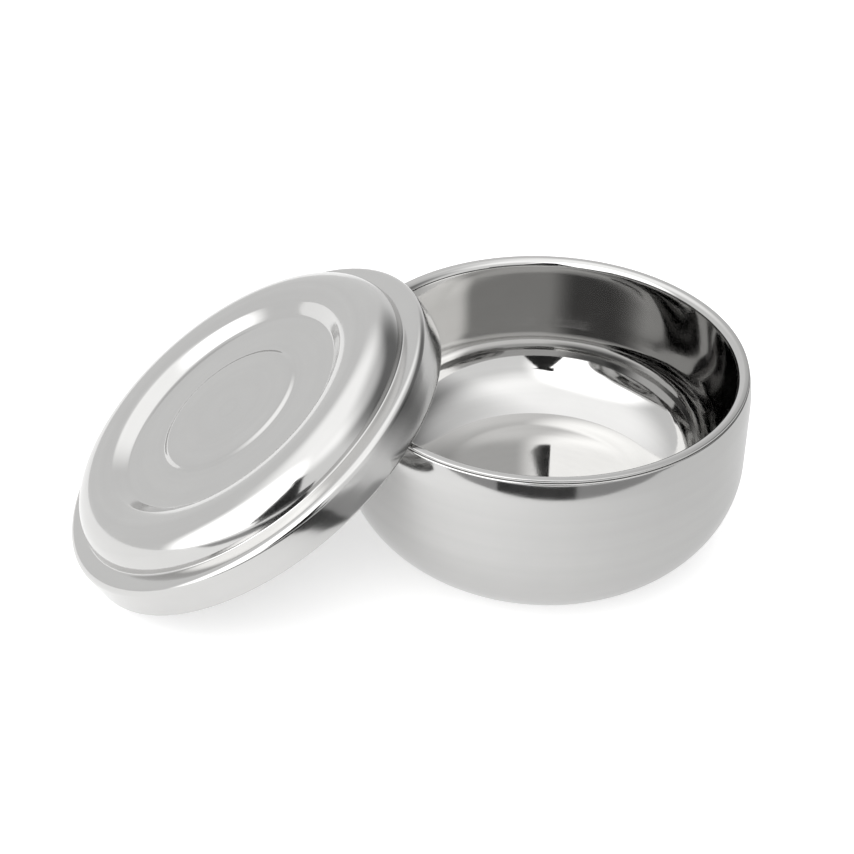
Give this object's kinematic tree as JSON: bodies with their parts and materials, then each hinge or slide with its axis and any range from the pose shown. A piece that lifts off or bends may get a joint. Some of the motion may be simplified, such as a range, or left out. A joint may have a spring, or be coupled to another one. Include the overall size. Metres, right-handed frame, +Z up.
{
  "type": "shaving bowl with lid",
  "caption": "Round double-walled polished steel lather bowl with a rolled-in rim and a domed pressed lid that leans against the rim.",
  "frame": {"origin": "centre of the bowl's flat base, on the surface that the bowl stands on", "axes": "+Z up along the bowl's own axis of rotation; -X towards the side that the lid leans on; the XZ plane is the object's mirror plane"},
  "size_m": [0.1861, 0.1164, 0.0728],
  "materials": {
    "outer_shell_steel": "mirror-polished stainless steel with faint turning lines",
    "inner_shell_steel": "mirror-polished stainless steel, fine circular polishing lines on the rim and the floor",
    "lid_steel": "bright-polished pressed stainless steel, slightly softer on the dome"
  },
  "bodies": {
    "bowl": {"bowl_outer_shell": "outer_shell_steel", "bowl_inner_shell": "inner_shell_steel"},
    "lid": {"lid": "lid_steel"}
  },
  "joints": [
    {"name": "lid_lift", "type": "slide", "parent": "bowl", "child": "lid", "axis": [0, 0, 1], "range_m": [0, 0.08]}
  ]
}
